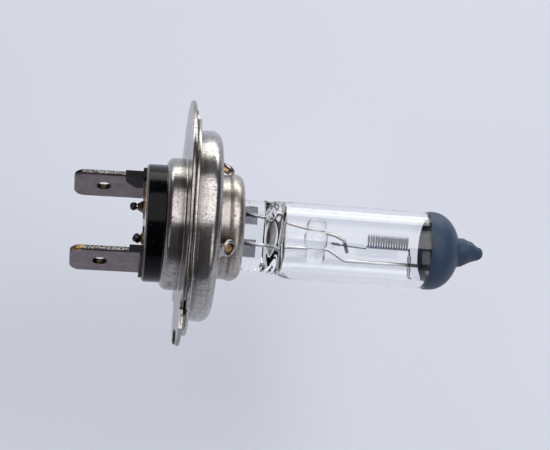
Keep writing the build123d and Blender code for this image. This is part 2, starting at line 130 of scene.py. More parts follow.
BASE = (
    Matrix.Rotation(BASE_TILT_AXIS - pi / 2, 4, "X")
    @ Matrix.Translation((-0.9 * MM, 0, FLANGE_RADIUS * MM))
    @ Matrix.Rotation(BASE_TILT, 4, "Y")
    @ Matrix.Translation((0.9 * MM, 0, -FLANGE_RADIUS * MM))
    @ Matrix.Rotation(pi / 2 - BASE_TILT_AXIS, 4, "X")
)
BURNER = (
    Matrix.Rotation(-VIEW_ELEVATION, 4, "X")
    @ Matrix.Translation((SLEEVE_FRONT * MM, 0, -BURNER_DROP * MM))
    @ Matrix.Rotation(BURNER_TILT, 4, "Y")
    @ Matrix.Translation((-SLEEVE_FRONT * MM, 0, 0))
)


# ---------------------------------------------------------------- view and light


def add_camera():
    """The reference view: beside the bulb, a little behind its cap, rolled by 3.3 degrees."""
    towards = Vector((0, -cos(VIEW_ELEVATION), sin(VIEW_ELEVATION)))
    rise = Vector((0, sin(VIEW_ELEVATION), cos(VIEW_ELEVATION)))
    along = Vector((1, 0, 0))
    forward = along * sin(VIEW_YAW) - towards * cos(VIEW_YAW)
    across = along * cos(VIEW_YAW) + towards * sin(VIEW_YAW)
    right = across * cos(VIEW_ROLL) + rise * sin(VIEW_ROLL)
    up = rise * cos(VIEW_ROLL) - across * sin(VIEW_ROLL)
    data = bpy.data.cameras.new("view")
    data.lens, data.sensor_width, data.sensor_fit = LENS, SENSOR, "HORIZONTAL"
    data.clip_start, data.clip_end = 0.01, 20
    camera = bpy.data.objects.new("view", data)
    scene.collection.objects.link(camera)
    camera.matrix_world = Matrix((right, up, -forward)).transposed().to_4x4()
    camera.matrix_world.translation = (
        along * VIEW_FOOT_X + towards * VIEW_DISTANCE + rise * VIEW_LIFT
    ) * MM
    scene.camera = camera


def add_softbox(name, angle, distance, width, length, power, colour, x):
    """An area light in the plane across the bulb at x; angle 0 is +Y and 90 is overhead."""
    data = bpy.data.lights.new(name, "AREA")
    data.shape, data.size, data.size_y = "RECTANGLE", length, width
    data.energy, data.color = power, colour
    lamp = bpy.data.objects.new(name, data)
    lamp.visible_camera = False
    scene.collection.objects.link(lamp)
    place = Vector((x, distance * cos(radians(angle)), distance * sin(radians(angle))))
    facing = (place - ALONG_X * x).normalized()
    lamp.matrix_world = Matrix((ALONG_X, facing.cross(ALONG_X), facing)).transposed().to_4x4()
    lamp.matrix_world.translation = place


def add_studio():
    """Pale floor, a dim room, and softboxes overhead, behind the bulb and in front of it."""
    scene.view_settings.view_transform = "Standard"
    world = bpy.data.worlds.new("studio")
    scene.world = world
    world.use_nodes = True
    background = world.node_tree.nodes["Background"]
    background.inputs["Color"].default_value = (0.86, 0.85, 0.90, 1)
    background.inputs["Strength"].default_value = 0.10
    add_softbox("overhead", 85, 0.50, 0.53, 0.80, 2.76, (1.0, 0.99, 0.985), 0.14)
    add_softbox("window_behind", 13, 0.60, 0.27, 0.95, 2.8, (0.975, 1.0, 0.94), 0.03)
    add_softbox("side_left", 145, 0.55, 0.40, 0.30, 0.25, (1.0, 0.97, 0.95), -0.50)
    add_softbox("side_right", 145, 0.55, 0.40, 0.30, 0.55, (1.0, 0.97, 0.95), 0.42)
    size = 1.6
    mesh = bpy.data.meshes.new("floor")
    level = cad_box[0].z - FLOOR_GAP
    corners = [(-size, -size, level), (size, -size, level), (size, size, level), (-size, size, level)]
    mesh.from_pydata(corners, [], [(0, 1, 2, 3)])
    floor = bpy.data.objects.new("floor", mesh)
    scene.collection.objects.link(floor)
    floor.data.materials.append(floor_paper())


# ---------------------------------------------------------------- material tools


class Shader:
    """A Principled material under construction, with short calls for its nodes."""

    def __init__(self, name):
        self.material = bpy.data.materials.new(name)
        self.material.use_nodes = True
        self.tree = self.material.node_tree
        self.surface = self.tree.nodes["Principled BSDF"]

    def node(self, kind, **values):
        made = self.tree.nodes.new(kind)
        for key, value in values.items():
            setattr(made, key, value)
        return made

    def link(self, source, target):
        self.tree.links.new(source, target)

    def set(self, **values):
        """Sets Principled sockets by name, with underscores for spaces."""
        for key, value in values.items():
            self.surface.inputs[key.replace("_", " ")].default_value = value

    def math(self, operation, *terms):
        made = self.node("ShaderNodeMath", operation=operation)
        for socket, term in zip(made.inputs, terms):
            if isinstance(term, (int, float)):
                socket.default_value = term
            else:
                self.link(term, socket)
        return made.outputs[0]

    def place(self):
        """The point on the surface in the piece's own axes, in metres."""
        return self.node("ShaderNodeTexCoord").outputs["Object"]

    def stretched(self, factors, source=None):
        """Coordinates scaled by a factor for each axis, so that a noise runs in lines."""
        mapping = self.node("ShaderNodeMapping")
        mapping.inputs["Scale"].default_value = factors
        self.link(source or self.place(), mapping.inputs["Vector"])
        return mapping.outputs[0]

    def split(self, vector):
        """The three components of a vector."""
        made = self.node("ShaderNodeSeparateXYZ")
        self.link(vector, made.inputs[0])
        return made.outputs

    def polar(self):
        """Round the X axis: x along, arc length round at 10 mm, and distance from the axis."""
        x, y, z = self.split(self.place())
        turn = self.math("MULTIPLY", self.math("ARCTAN2", z, y), 0.010)
        squares = [self.math("MULTIPLY", side, side) for side in (y, z)]
        reach = self.math("SQRT", self.math("ADD", *squares))
        joined = self.node("ShaderNodeCombineXYZ")
        for value, socket in zip((x, turn, reach), joined.inputs):
            self.link(value, socket)
        return joined.outputs[0]

    def noise(self, scale, detail=3.0, roughness=0.55, at=None):
        made = self.node("ShaderNodeTexNoise")
        made.inputs["Scale"].default_value = scale
        made.inputs["Detail"].default_value = detail
        made.inputs["Roughness"].default_value = roughness
        self.link(at or self.place(), made.inputs["Vector"])
        return made.outputs["Fac"]

    def ramp(self, value, *stops):
        """A colour ramp of (position, colour) stops; a plain number is a grey."""
        made = self.node("ShaderNodeValToRGB")
        elements = made.color_ramp.elements
        while len(elements) < len(stops):
            elements.new(0.5)
        for element, (position, colour) in zip(elements, stops):
            element.position = position
            grey = isinstance(colour, (int, float))
            element.color = (colour, colour, colour, 1) if grey else (*colour, 1)
        self.link(value, made.inputs[0])
        return made.outputs[0]

    def mix(self, factor, first, second):
        """Goes from the first colour to the second; inputs 6 and 7 are a Mix node's colours."""
        made = self.node("ShaderNodeMix", data_type="RGBA")
        for place, value in ((0, factor), (6, first), (7, second)):
            socket = made.inputs[place]
            if isinstance(value, (int, float)):
                socket.default_value = value
            elif isinstance(value, tuple):
                socket.default_value = (*value, 1)
            else:
                self.link(value, socket)
        return made.outputs[2]

    def colour(self, value):
        self.link(value, self.surface.inputs["Base Color"])

    def roughness(self, value):
        self.link(value, self.surface.inputs["Roughness"])

    def bump(self, height, depth_mm, strength):
        """Relief of the given depth for heights from 0 to 1, over any earlier bump."""
        made = self.node("ShaderNodeBump")
        made.inputs["Distance"].default_value = depth_mm * MM
        made.inputs["Strength"].default_value = strength
        earlier = self.surface.inputs["Normal"]
        if earlier.is_linked:
            self.link(earlier.links[0].from_socket, made.inputs["Normal"])
        self.link(height, made.inputs["Height"])
        self.link(made.outputs[0], earlier)


# ---------------------------------------------------------------- materials

STEEL = (0.515, 0.507, 0.512)
SHADE_SCALE = 60.0  # positions on the painted shade's ramp for each metre of radius
# Painted shade: the cup's flange is darkened next to the cup wall, where shade falls.
CUP_PAINTED_SHADE = ((0.545, 0.0), (0.575, 0.80), (0.74, 0.35), (0.90, 0.0))


def floor_paper():
    """Pale matt paper with a very slight cloud."""
    s = Shader("floor_paper")
    cloud = s.noise(9, 2)
    s.colour(s.ramp(cloud, (0.3, (0.705, 0.735, 0.835)), (0.7, (0.745, 0.775, 0.875))))
    s.set(Roughness=0.9, Specular_IOR_Level=0.2)
    return s.material


def turned_steel(name, tint, rough, drawn_along_x=True, painted_shade=((0.0, 0.0), (1.0, 0.0))):
    """Nickel-plated pressed steel: drawing lines, blotches, small pits and dulled patches.

    Its last argument gives painted shade: ramp stops for how dark the metal is at a radius times the
    scale set above.
    """
    s = Shader(name)
    polar = s.polar()
    lines = (60, 2600, 60) if drawn_along_x else (2600, 40, 400)
    streaks = s.noise(1.0, 4, 0.7, at=s.stretched(lines, polar))
    rings = s.noise(1.0, 3, 0.6, at=s.stretched((2400, 90, 900), polar))
    bands = s.noise(1.0, 2, 0.5, at=s.stretched((900, 25, 700), polar))
    blotch = s.noise(380, 6, 0.75)
    grit = s.noise(2600, 4, 0.8)
    pits = s.noise(2600, 2, 0.5)
    dark = (0.34 * tint[0], 0.31 * tint[1], 0.30 * tint[2])
    dull = (0.74 * tint[0], 0.68 * tint[1], 0.62 * tint[2])
    tone = s.mix(s.ramp(blotch, (0.38, 0.0), (0.64, 0.75)), tint, dull)
    tone = s.mix(s.ramp(bands, (0.50, 0.0), (0.70, 0.45)), tone, dark)
    tone = s.mix(s.ramp(grit, (0.46, 0.0), (0.68, 0.75)), tone, dark)
    tone = s.mix(s.ramp(streaks, (0.54, 0.0), (0.72, 0.70)), tone, dark)
    tone = s.mix(s.ramp(rings, (0.54, 0.0), (0.70, 0.50)), tone, dark)
    tone = s.mix(s.ramp(pits, (0.66, 0.0), (0.72, 0.8)), tone, (0.06, 0.045, 0.04))
    # Painted shade: the metal is darkened by radius, as the stops give.
    stain_and_shade = s.ramp(s.math("MULTIPLY", s.split(polar)[2], SHADE_SCALE), *painted_shade)
    tone = s.mix(stain_and_shade, tone, (0.5 * dark[0], 0.45 * dark[1], 0.4 * dark[2]))
    s.colour(tone)
    spread = s.math("ADD", s.math("MULTIPLY", grit, 0.26), s.math("MULTIPLY", blotch, 0.20))
    s.roughness(s.math("ADD", spread, rough - 0.22))
    s.set(Metallic=1.0)
    s.bump(streaks, 0.010, 0.6)
    s.bump(rings, 0.012, 0.6)
    s.bump(bands, 0.030, 0.6)
    s.bump(grit, 0.016, 0.6)
    return s.material


def near_point(s, point, reach):
    """1 at a point, fading to 0 at the reach, both in millimetres."""
    away = s.node("ShaderNodeVectorMath", operation="DISTANCE")
    s.link(s.place(), away.inputs[0])
    away.inputs[1].default_value = tuple(side * MM for side in point)
    share = s.math("DIVIDE", away.outputs["Value"], reach * MM)
    return s.math("MAXIMUM", s.math("SUBTRACT", 1.0, share), 0.0)


def blade_metal():
    """Dull grey-brown plated strip: rolling lines, specks, sheared edges, scorched cones and painted
    glints on its top edges.
    """
    s = Shader("blade_metal")
    lines = s.noise(1.0, 4, 0.65, at=s.stretched((160, 5200, 5200)))
    mottle = s.noise(700, 5, 0.7)
    stain_and_shade = s.noise(170, 4, 0.55)
    specks = s.noise(2300, 3, 0.7)
    tone = s.ramp(mottle, (0.30, (0.132, 0.107, 0.113)), (0.70, (0.236, 0.198, 0.207)))
    tone = s.mix(s.ramp(stain_and_shade, (0.52, 0.0), (0.75, 0.6)), tone, (0.30, 0.25, 0.21))
    tone = s.mix(s.ramp(lines, (0.58, 0.0), (0.72, 0.45)), tone, (0.46, 0.42, 0.41))
    tone = s.mix(s.ramp(specks, (0.64, 0.0), (0.70, 0.8)), tone, (0.05, 0.04, 0.04))
    facing = s.split(s.node("ShaderNodeNewGeometry").outputs["Normal"])
    spot = s.split(s.place())
    edge = s.math("LESS_THAN", s.math("ABSOLUTE", facing[1]), 0.6)
    scorched = s.ramp(specks, (0.44, (0.020, 0.013, 0.010)), (0.66, (0.30, 0.19, 0.10)))
    tone = s.mix(edge, tone, s.mix(0.75, scorched, (0.020, 0.015, 0.014)))
    front_edge = s.math("MULTIPLY", edge, s.math("GREATER_THAN", spot[0], SCORCH_X * MM))
    tone = s.mix(front_edge, tone, scorched)
    # Painted glints: bright and dark specks coloured on the top edges, which face the overhead light;
    # the bump there is real relief.
    top_edge = s.math("GREATER_THAN", spot[2], BLADE_TOP_Z * MM)
    painted_glints = s.ramp(s.noise(5200, 2, 0.6), (0.46, (0.045, 0.040, 0.040)), (0.62, (0.42, 0.40, 0.40)))
    tone = s.mix(top_edge, tone, painted_glints)
    gold = s.ramp(near_point(s, GOLD_SPOT, GOLD_REACH), (0.10, 0.0), (0.45, 0.9))
    tone = s.mix(gold, tone, s.ramp(specks, (0.40, (0.22, 0.11, 0.03)), (0.58, (0.85, 0.58, 0.22))))
    s.colour(tone)
    s.roughness(s.math("ADD", s.math("MULTIPLY", mottle, 0.30), 0.24))
    s.set(Metallic=1.0)
    s.bump(mottle, 0.030, 0.5)
    s.bump(lines, 0.014, 0.5)
    s.bump(s.math("MULTIPLY", specks, top_edge), 0.06, 0.7)
    return s.material


def insulator_plastic():
    """Glossy near-black moulding with a fine ripple, dust and a painted grey highlight along its rear
    rim.
    """
    s = Shader("insulator_plastic")
    ripple = s.noise(420, 3)
    dust = s.noise(2400, 2, 0.5)
    tone = s.mix(s.ramp(dust, (0.64, 0.0), (0.74, 0.6)), (0.0012, 0.0013, 0.0022), (0.03, 0.031, 0.036))
    along, _, reach = s.split(s.polar())
    rear = s.math("LESS_THAN", along, RIM_HIGHLIGHT_X * MM)
    rim = s.math("GREATER_THAN", reach, RIM_HIGHLIGHT_RADIUS * MM)
    # Painted highlight: the chamfer round the rear rim is coloured grey.
    s.colour(s.mix(s.math("MULTIPLY", rear, rim), tone, (0.13, 0.13, 0.14)))
    s.roughness(s.math("ADD", s.math("MULTIPLY", ripple, 0.16), 0.08))
    s.set(Specular_IOR_Level=0.10, Sheen_Weight=0.30, Sheen_Roughness=0.25)
    s.bump(ripple, 0.02, 0.4)
    return s.material


def quartz(name, clear):
    """Clear fused quartz that lets lamps through; clear is False for worked, streaky quartz."""
    s = Shader(name)
    s.set(Base_Color=(0.985, 0.992, 1.0, 1), Roughness=0.0, IOR=1.458, Transmission_Weight=1.0)
    waves = s.noise(1.0, 2, 0.5, at=s.stretched((60, 420, 420) if clear else (330, 330, 330)))
    s.bump(waves, 0.02 if clear else 0.06, 0.35 if clear else 0.6)
    passing = s.node("ShaderNodeBsdfTransparent")
    passing.inputs[0].default_value = (0.96, 0.97, 0.985, 1)
    rays = s.node("ShaderNodeLightPath")
    either = s.node("ShaderNodeMixShader")
    s.link(rays.outputs["Is Shadow Ray"], either.inputs[0])
    s.link(s.surface.outputs[0], either.inputs[1])
    s.link(passing.outputs[0], either.inputs[2])
    s.link(either.outputs[0], s.tree.nodes["Material Output"].inputs[0])
    return s.material


def lacquer():
    """Slate-blue heat-proof dip coat, satin and uneven, with painted shade that makes its inner side
    nearly black.
    """
    s = Shader("lacquer")
    cloud = s.noise(330, 4, 0.6)
    grain = s.noise(2600, 3, 0.6)
    tone = s.ramp(cloud, (0.30, (0.024, 0.045, 0.088)), (0.70, (0.038, 0.066, 0.122)))
    tone = s.mix(s.ramp(grain, (0.58, 0.0), (0.75, 0.45)), tone, (0.085, 0.125, 0.165))
    away = s.node("ShaderNodeVectorMath", operation="SUBTRACT")
    s.link(s.place(), away.inputs[0])
    away.inputs[1].default_value = (DOME_X * MM, 0, -BURNER_DROP * MM)
    facing = s.node("ShaderNodeVectorMath", operation="DOT_PRODUCT")
    s.link(away.outputs[0], facing.inputs[0])
    s.link(s.node("ShaderNodeNewGeometry").outputs["True Normal"], facing.inputs[1])
    inside = s.math("LESS_THAN", facing.outputs["Value"], 0.0)
    # Painted shade: the inner side, seen through the glass, is coloured nearly black.
    painted_inner_shade = s.ramp(cloud, (0.45, (0.003, 0.004, 0.009)), (0.60, (0.022, 0.028, 0.050)))
    s.colour(s.mix(inside, tone, painted_inner_shade))
    s.roughness(s.math("MAXIMUM", s.math("ADD", s.math("MULTIPLY", grain, 0.25), 0.34), inside))
    s.set(Specular_IOR_Level=0.30)
    s.bump(cloud, 0.05, 0.5)
    s.bump(grain, 0.02, 0.5)
    return s.material


def wire_metal(name, tint, rough):
    """Drawn wire or foil: lengthwise lines and a slight tarnish."""
    s = Shader(name)
    lines = s.noise(1.0, 3, 0.6, at=s.stretched((500, 6000, 6000)))
    tarnish = s.noise(500, 3)
    tone = s.mix(s.ramp(tarnish, (0.40, 0.0), (0.70, 1.0)), tint, tuple(0.62 * t for t in tint))
    s.colour(tone)
    s.roughness(s.math("ADD", s.math("MULTIPLY", tarnish, 0.16), rough - 0.06))
    s.set(Metallic=1.0)
    s.bump(lines, 0.006, 0.5)
    return s.material


def burnt_weld():
    """Heat-tinted weld metal: copper to brown with dark specks."""
    s = Shader("burnt_weld")
    cells = s.noise(1700, 4, 0.7)
    burnt, copper, bright = (0.05, 0.03, 0.02), (0.42, 0.22, 0.09), (0.85, 0.60, 0.36)
    s.colour(s.ramp(cells, (0.30, burnt), (0.48, copper), (0.70, bright)))
    s.roughness(s.math("ADD", s.math("MULTIPLY", cells, 0.4), 0.12))
    s.set(Metallic=0.9)
    s.bump(cells, 0.08, 0.8)
    return s.material


def dark_bead():
    """Melted lead end, oxidised nearly black, with a bluish sheen."""
    s = Shader("dark_bead")
    cells = s.noise(1500, 3, 0.6)
    s.colour(s.ramp(cells, (0.35, (0.010, 0.010, 0.013)), (0.70, (0.060, 0.062, 0.078))))
    s.roughness(s.math("ADD", s.math("MULTIPLY", cells, 0.3), 0.12))
    s.set(Metallic=0.6)
    s.bump(cells, 0.05, 0.5)
    return s.material


# ---------------------------------------------------------------- mesh tools


def circle(count):
    """Angles that divide a full turn."""
    return [2 * pi * i / count for i in range(count)]


def smooth_step(value, low, high):
    """0 below low, 1 above high, with an even curve between."""
    part = max(0.0, min(1.0, (value - low) / (high - low)))
    return part * part * (3 - 2 * part)


def spoke(degrees):
    """Unit vectors outwards and onwards at an angle round the X axis."""
    a = radians(degrees)
    return Vector((0, cos(a), sin(a))), Vector((0, -sin(a), cos(a)))


def rounded(points, radii, steps=8):
    """A line of points with each inner corner replaced by an arc of its radius."""
    points = [Vector(p) for p in points]
    line = [points[0]]
    for before, corner, after, radius in zip(points, points[1:], points[2:], radii):
        back, ahead = (before - corner).normalized(), (after - corner).normalized()
        half = acos(max(-1.0, min(1.0, back.dot(ahead)))) / 2
        centre = corner + (back + ahead).normalized() * radius / sin(half)
        start, end = (corner + side * radius / tan(half) for side in (back, ahead))
        for i in range(steps + 1):
            chord = start.lerp(end, i / steps)
            line.append(centre + (chord - centre).normalized() * radius)
    return [*line, points[-1]]


def finish_mesh(name, bm, material, nodes, matrix=None, sharp=40, hollow=()):
    """Turns a bmesh in millimetres into a shown piece; faces of a hollow look inwards."""
    bmesh.ops.recalc_face_normals(bm, faces=bm.faces)
    bmesh.ops.reverse_faces(bm, faces=[face for face in bm.faces if face.index in hollow])
    mesh = bpy.data.meshes.new(name)
    bm.to_mesh(mesh)
    bm.free()
    mesh.transform(Matrix.Scale(MM, 4))
    if matrix is not None:
        mesh.transform(matrix)
    mesh.polygons.foreach_set("use_smooth", [True] * len(mesh.polygons))
    mesh.set_sharp_from_angle(angle=radians(sharp))
    mesh.update()
    piece = bpy.data.objects.new(name, mesh)
    scene.collection.objects.link(piece)
    mesh.materials.append(material)
    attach(piece, "root")
    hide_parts(*nodes)


def skin(bm, rows, closed_stack=False):
    """Quads between rings of points; closed_stack joins the last ring to the first."""
    made = [[bm.verts.new(p) for p in row] for row in rows]
    pairs = list(zip(made, made[1:]))
    if closed_stack:
        pairs.append((made[-1], made[0]))
    for low, high in pairs:
        for i in range(len(low)):
            j = (i + 1) % len(low)
            bm.faces.new((low[i], low[j], high[j], high[i]))
    return made


def turned(bm, profile, segments):
    """Revolves (x, radius) points about X; both ends are on the axis, closed to a point."""
    rows = [[(x, radius * cos(a), radius * sin(a)) for a in circle(segments)] for x, radius in profile]
    made = skin(bm, rows)
    for row, (x, _) in ((made[0], profile[0]), (made[-1], profile[-1])):
        bmesh.ops.pointmerge(bm, verts=row, merge_co=(x, 0, 0))


def tube_along(bm, points, radius, sides=16):
    """A round wire along points, with each end closed by a small dome."""
    points = [Vector(p) for p in points]
    side = None
    rows = []
    for i, point in enumerate(points):
        ahead = (points[min(i + 1, len(points) - 1)] - points[max(i - 1, 0)]).normalized()
        if side is None:
            side = ahead.orthogonal().normalized()
        side = (side - ahead * side.dot(ahead)).normalized()
        other = ahead.cross(side)
        rows.append((point, ahead, side, other))

    def ring(point, side, other, reach):
        return [point + side * reach * cos(a) + other * reach * sin(a) for a in circle(sides)]

    rings = []
    point, ahead, side, other = rows[0]
    for step in (0.15, 0.6):
        place = point - ahead * radius * 0.5 * (1 - step)
        rings.append(ring(place, side, other, radius * sqrt(step)))
    rings += [ring(place, side, other, radius) for place, _, side, other in rows]
    point, ahead, side, other = rows[-1]
    for step in (0.6, 0.15):
        place = point + ahead * radius * 0.5 * (1 - step)
        rings.append(ring(place, side, other, radius * sqrt(step)))
    made = skin(bm, rings)
    bm.faces.new(made[0])
    bm.faces.new(reversed(made[-1]))


# ---------------------------------------------------------------- cap pieces


def densified(line, step):
    """The same line with points at most one step apart."""
    fine = [line[0]]
    for start, end in zip(line, line[1:]):
        pieces = max(1, int((end - start).length / step))
        fine += [start.lerp(end, i / pieces) for i in range(1, pieces + 1)]
    return fine


def offset_line(line, distance):
    """A flat line of (x, radius) points moved sideways by a distance."""
    moved = []
    for i, point in enumerate(line):
        ahead = (line[min(i + 1, len(line) - 1)] - line[max(i - 1, 0)]).normalized()
        moved.append(point + Vector((-ahead.y, ahead.x)) * distance)
    return moved


def sheet_loop(line, thick):
    """Closed outline of a sheet round its mid-line, with rounded edges."""
    left, right = offset_line(line, thick / 2), offset_line(line, -thick / 2)
    ends = []
    for inner, edge in ((line[1], line[0]), (line[-2], line[-1])):
        out = (edge - inner).normalized()
        across = Vector((-out.y, out.x))
        half = thick / 2
        ends.append([
            edge + out * (EDGE_SOFT * (1 - k * k)) + across * half * k for k in (-1, -0.6, 0, 0.6, 1)
        ])
    first, last = ends
    return [*left, *reversed(last[1:-1]), *reversed(right), *reversed(first[1:-1])]


def turned_sheet(bm, line, thick, edge, edge_from, ripple, segments=360):
    """Sheet turned about X; beyond the radius edge_from its last edge follows edge(angle)."""
    loop = sheet_loop(line, thick)
    outward = line[-1].y > edge_from
    radii = [point.y for point in loop]
    reach = max(radii) if outward else min(radii)
    rows = []
    for point in loop:
        row = []
        for a in circle(segments):
            radius = point.y
            if (radius > edge_from) == outward:
                radius = edge_from + (radius - edge_from) * (edge(a) - edge_from) / (reach - edge_from)
            wave = Vector((point.x * 0.5, cos(a) * radius * 0.35, sin(a) * radius * 0.35))
            radius += ripple * noise.noise(wave)
            x = point.x + ripple * noise.noise(wave + Vector((7, 3, 1)))
            row.append((x, radius * cos(a), radius * sin(a)))
        rows.append(row)
    skin(bm, rows, closed_stack=True)


def crowned(line, low, high, depth):
    """Bows the part of a line between two stations outwards by sinking its ends."""
    middle, half = (low + high) / 2, (high - low) / 2
    bowed = []
    for x, radius in line:
        part = (x - middle) / half
        bowed.append(Vector((x, radius - depth * min(1.6, part * part))))
    return bowed


def off_from(angle, degrees):
    """How far an angle lies from a direction given in degrees, from -pi to pi."""
    return (angle - radians(degrees) + pi) % (2 * pi) - pi


def ring_rim(angle):
    """Edge of the ring's flange: round, with a short flat and slight unevenness."""
    off = off_from(angle, RING_FLAT_ANGLE)
    uneven = noise.noise(Vector((cos(angle) * 3, sin(angle) * 3, 5)))
    reach = RING_FLANGE - RIM_ROOM + RIM_ROOM * uneven
    return min(reach, RING_FLAT_REACH / cos(off)) if 0 <= off < pi / 3 else reach


def base_rim(angle):
    """Edge of the base flange: a notched lug between two recesses."""
    off = off_from(angle, LUG_ANGLE)
    lug_side = asin(LUG_HALF_WIDTH / FLANGE_RADIUS)
    reach = FLANGE_RADIUS - RIM_ROOM
    bend = radians(2.5)
    if lug_side < abs(off) < lug_side + radians(RECESS_SPAN):
        ramp = min(abs(off) - lug_side, lug_side + radians(RECESS_SPAN) - abs(off))
        reach -= (FLANGE_RADIUS - RECESS_REACH) * smooth_step(ramp, 0, bend)
    notch_side = asin(NOTCH_HALF_WIDTH / FLANGE_RADIUS) + radians(1.5)
    if abs(off) < notch_side:
        bottom = NOTCH_BOTTOM / cos(off)
        reach -= (FLANGE_RADIUS - bottom) * smooth_step(notch_side - abs(off), 0, bend)
    return reach + RIM_ROOM * noise.noise(Vector((cos(angle) * 4, sin(angle) * 4, 2)))


def dome(bm, centre, along, across, out, radius, height, lump=0.0, seed=0.0):
    """A low round bump on a surface, with its skirt sunk a little below it."""
    rows = []
    for j in range(13):
        t = j / 12
        reach, rise = radius * cos(t * pi / 2), height * sin(t * pi / 2)
        row = []
        for a in circle(40):
            spot = Vector((cos(a) * reach * 2.4, sin(a) * reach * 2.4, rise * 3 + seed))
            bulge = 1 + lump * noise.noise(spot)
            row.append(centre + (along * cos(a) + across * sin(a)) * reach * bulge + out * rise * bulge)
        rows.append(row)
    rows.insert(0, [point - out * max(height, 0.8) * radius for point in rows[0]])
    made = skin(bm, rows)
    bmesh.ops.pointmerge(bm, verts=made[-1], merge_co=made[-1][0].co)
    bm.faces.new(made[0])


def eye_frame(angle):
    """Centre and axes (forward, round, outward) of the eye on one tongue."""
    radial, round_x = spoke(angle)
    forward = ALONG_X * cos(EYE_SLOPE) - radial * sin(EYE_SLOPE)
    outward = ALONG_X * sin(EYE_SLOPE) + radial * cos(EYE_SLOPE)
    return ALONG_X * EYE_X + radial * EYE_REACH, forward, round_x, outward


def tongue(bm, angle):
    """One tongue: a strap from the ring's inner edge that ends in a rolled eye."""
    centre, forward, round_x, outward = eye_frame(angle)
    hole = NUGGET_RADIUS + 0.03
    section = [
        (hole, -0.20), (hole, 0.02), (hole + 0.06, 0.20), (hole + 0.22, 0.28),
        (EYE_RADIUS - 0.10, 0.20), (EYE_RADIUS, 0.04),
        (EYE_RADIUS - 0.02, -0.16), (EYE_RADIUS - 0.15, -0.22),
    ]
    rows = []
    for reach, rise in section:
        rows.append([
            centre + (forward * cos(a) + round_x * sin(a)) * reach + outward * rise for a in circle(64)
        ])
    skin(bm, rows, closed_stack=True)
    radial, _ = spoke(angle)
    path = rounded([(2.62, 9.95), (2.98, 9.42), (EYE_X - 0.75, EYE_REACH + 0.66)], [0.35], 6)
    loop = sheet_loop(path, 0.34)
    middle = sum(loop, Vector((0, 0))) / len(loop)
    rows = []
    for width, inset in ((-0.86, 0.82), (-0.80, 1.0), (0.80, 1.0), (0.86, 0.82)):
        rows.append([
            ALONG_X * (middle.x + (p.x - middle.x) * inset)
            + radial * (middle.y + (p.y - middle.y) * inset) + round_x * width
            for p in loop
        ])
    made = skin(bm, rows)
    bm.faces.new(made[0])
    bm.faces.new(reversed(made[-1]))


def cap_ring(material):
    """Focusing ring: flange, bowed wall, rounded front corner and three tongues with eyes."""
    middle = SHEET / 2
    corners = [
        (-middle, RING_FLANGE - EDGE_SOFT), (-middle, RING_RADIUS - middle),
        (RING_FRONT - middle, RING_RADIUS - middle), (RING_FRONT - middle, RING_HOLE + EDGE_SOFT),
    ]
    line = densified(rounded(corners, [0.4, 1.15], 12), 0.22)
    line = crowned(line, -0.25, 2.9, 0.24)[::-1]
    bm = bmesh.new()
    turned_sheet(bm, line, SHEET, ring_rim, RING_RADIUS + 0.4, 0.035)
    for vert in bm.verts:
        radius = hypot(vert.co.y, vert.co.z)
        up = (vert.co.y * cos(BASE_TILT_AXIS) + vert.co.z * sin(BASE_TILT_AXIS)) / RING_FLANGE
        rim = smooth_step(radius, RING_RADIUS, RING_FLANGE)
        vert.co.x += RING_ASKEW * (up - 0.45) - rim * (RING_SINK + RING_WARP * (1 - up * up))
    for angle in TONGUE_ANGLES:
        tongue(bm, angle)
    finish_mesh("ring_shell", bm, material, ["cap_ring"])


def base_cup(material):
    """Cup and lugged flange pressed in one piece, with three small nubs."""
    middle = SHEET / 2
    corners = [
        (CUP_REAR_X + middle, CUP_LIP + EDGE_SOFT), (CUP_REAR_X + middle, CUP_RADIUS - middle),
        (FLANGE_X, CUP_RADIUS - middle), (FLANGE_X, FLANGE_RADIUS - EDGE_SOFT),
    ]
    line = densified(rounded(corners, [0.7, 0.5], 12), 0.22)
    bowed = crowned(line, CUP_REAR_X, FLANGE_X + 0.6, 0.20)
    line = [b if point.y < CUP_RADIUS + 0.2 else point for point, b in zip(line, bowed)]
    bm = bmesh.new()
    turned_sheet(bm, line, SHEET, base_rim, CUP_RADIUS + 1.5, 0.035, 720)
    for angle in NUB_ANGLES:
        radial, round_x = spoke(angle)
        place = radial * NUB_ORBIT + ALONG_X * (FLANGE_X + middle - 0.02)
        dome(bm, place, radial, round_x, ALONG_X, NUB_RADIUS, NUB_HEIGHT)
    finish_mesh("cup_shell", bm, material, ["base_cup"], BASE)


def pinch_slot(angle):
    """Distance from the axis to the edge of the slot that the pinch passes through."""
    turn = angle + VIEW_ELEVATION
    y, z = cos(turn), sin(turn)
    side = (PINCH_HALF_THICK + SLOT_GAP) / max(abs(y), 1e-6)
    end = (PINCH_HIGH + SLOT_GAP - BURNER_DROP) if z > 0 else (BURNER_DROP - PINCH_LOW + SLOT_GAP)
    return min(side, end / max(abs(z), 1e-6))


def burner_sleeve(material):
    """Drawn sleeve: neck, shallow step, rolled bead and a rounded front with its slot."""
    half = SLEEVE_SHEET / 2
    front = SLEEVE_FRONT - half
    corners = [
        (-0.5, SLEEVE_NECK - half), (SLEEVE_STEP_X - 0.30, SLEEVE_NECK - half),
        (SLEEVE_STEP_X + 0.25, SLEEVE_BEAD - half), (front, SLEEVE_BEAD - half), (front, 3.0),
    ]
    line = densified(rounded(corners, [0.45, 0.45, 1.15], 8), 0.2)
    line = [Vector((x, radius + 0.05 * noise.noise(Vector((x * 1.6, 0.0, 8.0))))) for x, radius in line]
    bm = bmesh.new()
    turned_sheet(bm, line, SLEEVE_SHEET, pinch_slot, 6.3, 0.03)
    finish_mesh("sleeve_shell", bm, material, ["burner_sleeve"])


